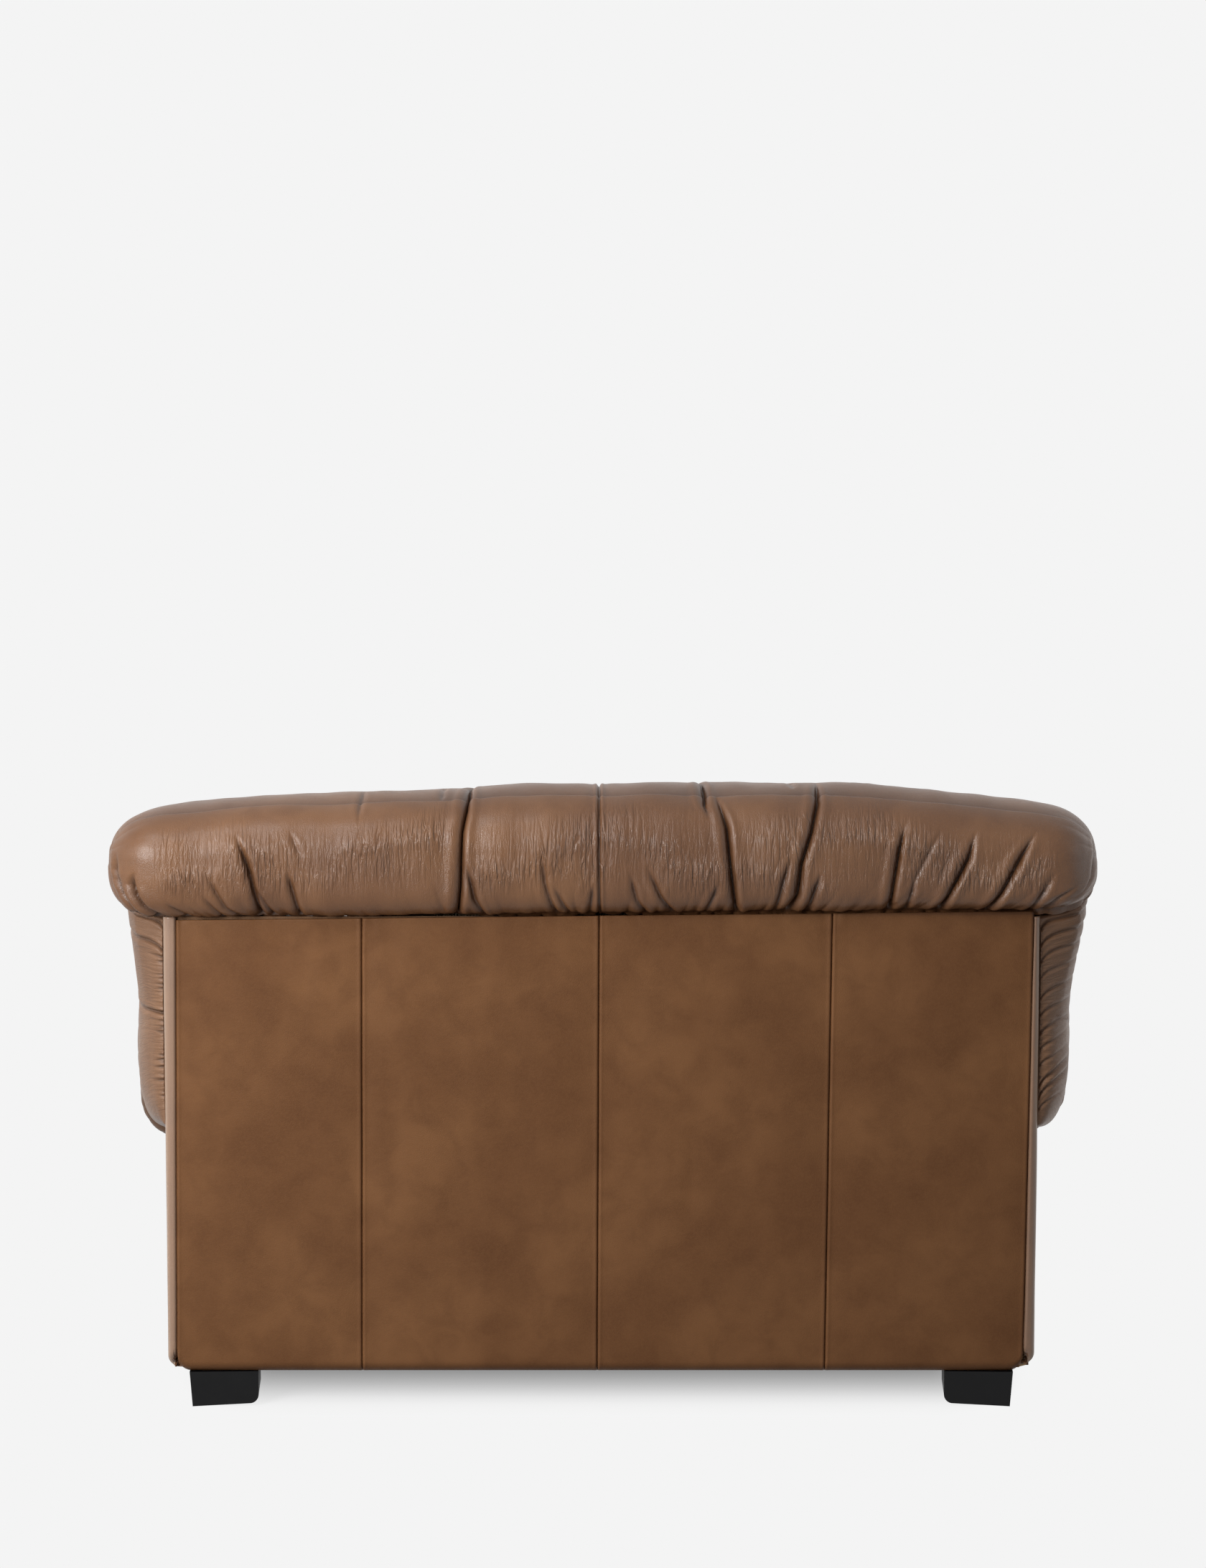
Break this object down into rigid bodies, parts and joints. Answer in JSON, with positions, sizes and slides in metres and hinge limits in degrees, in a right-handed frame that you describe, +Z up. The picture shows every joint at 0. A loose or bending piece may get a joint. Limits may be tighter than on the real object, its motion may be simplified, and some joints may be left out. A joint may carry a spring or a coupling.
{
  "type": "armchair",
  "caption": "Wide low leather lounge armchair with a gathered overstuffed roll across the back, puffed ruched arms, a panelled outside back and square block feet.",
  "frame": {"origin": "on the floor, at the middle of the chair's width and depth", "axes": "+Z up, -Y the way the sitter faces, +X the sitter's left"},
  "size_m": [1.24, 0.8996, 0.6992],
  "materials": {
    "leather": "waxed brown leather, fine pebble grain, satin",
    "hardwood": "planed beech, unfinished",
    "hardboard": "pressed fibre board, smooth",
    "spring_steel": "oiled black wire",
    "zinc_steel": "bright zinc plate",
    "webbing": "woven elastic strap",
    "felt": "needled felt over thin foam",
    "foam": "cut foam",
    "base_cloth": "thin black spun cloth",
    "foot_wood": "black stain, satin lacquer",
    "nylon": "moulded, matt"
  },
  "bodies": {
    "root": {"rear_rail": "hardwood", "front_rail": "hardwood", "side_rail_left": "hardwood", "side_rail_right": "hardwood", "rear_post_left": "hardwood", "rear_post_right": "hardwood", "front_post_left": "hardwood", "front_post_right": "hardwood", "arm_rail_left": "hardwood", "arm_rail_right": "hardwood", "back_top_rail": "hardwood", "back_mid_rail": "hardwood", "spring_rail": "hardwood", "corner_blocks": "hardwood", "back_board": "hardboard", "side_board_left": "hardboard", "side_board_right": "hardboard", "arm_board_left": "hardboard", "arm_board_right": "hardboard", "seat_springs": "spring_steel", "spring_clips": "zinc_steel", "back_webbing": "webbing", "seat_deck": "felt", "seat_foam": "foam", "seat_cushion": "leather", "back_foam": "foam", "back_cushion": "leather", "roll_foam": "foam", "back_roll": "leather", "arm_foam_left": "foam", "arm_foam_right": "foam", "arm_pad_left": "leather", "arm_pad_right": "leather", "arm_front_left": "leather", "arm_front_right": "leather", "back_panel_outer_left": "leather", "back_panel_inner_left": "leather", "back_panel_inner_right": "leather", "back_panel_outer_right": "leather", "side_panel_left": "leather", "side_panel_right": "leather", "front_border": "leather", "dust_cover": "base_cloth", "foot_rear_left": "foot_wood", "foot_rear_right": "foot_wood", "foot_front_left": "foot_wood", "foot_front_right": "foot_wood", "foot_bolts": "zinc_steel", "foot_nuts": "zinc_steel", "foot_glides": "nylon"}
  },
  "joints": []
}
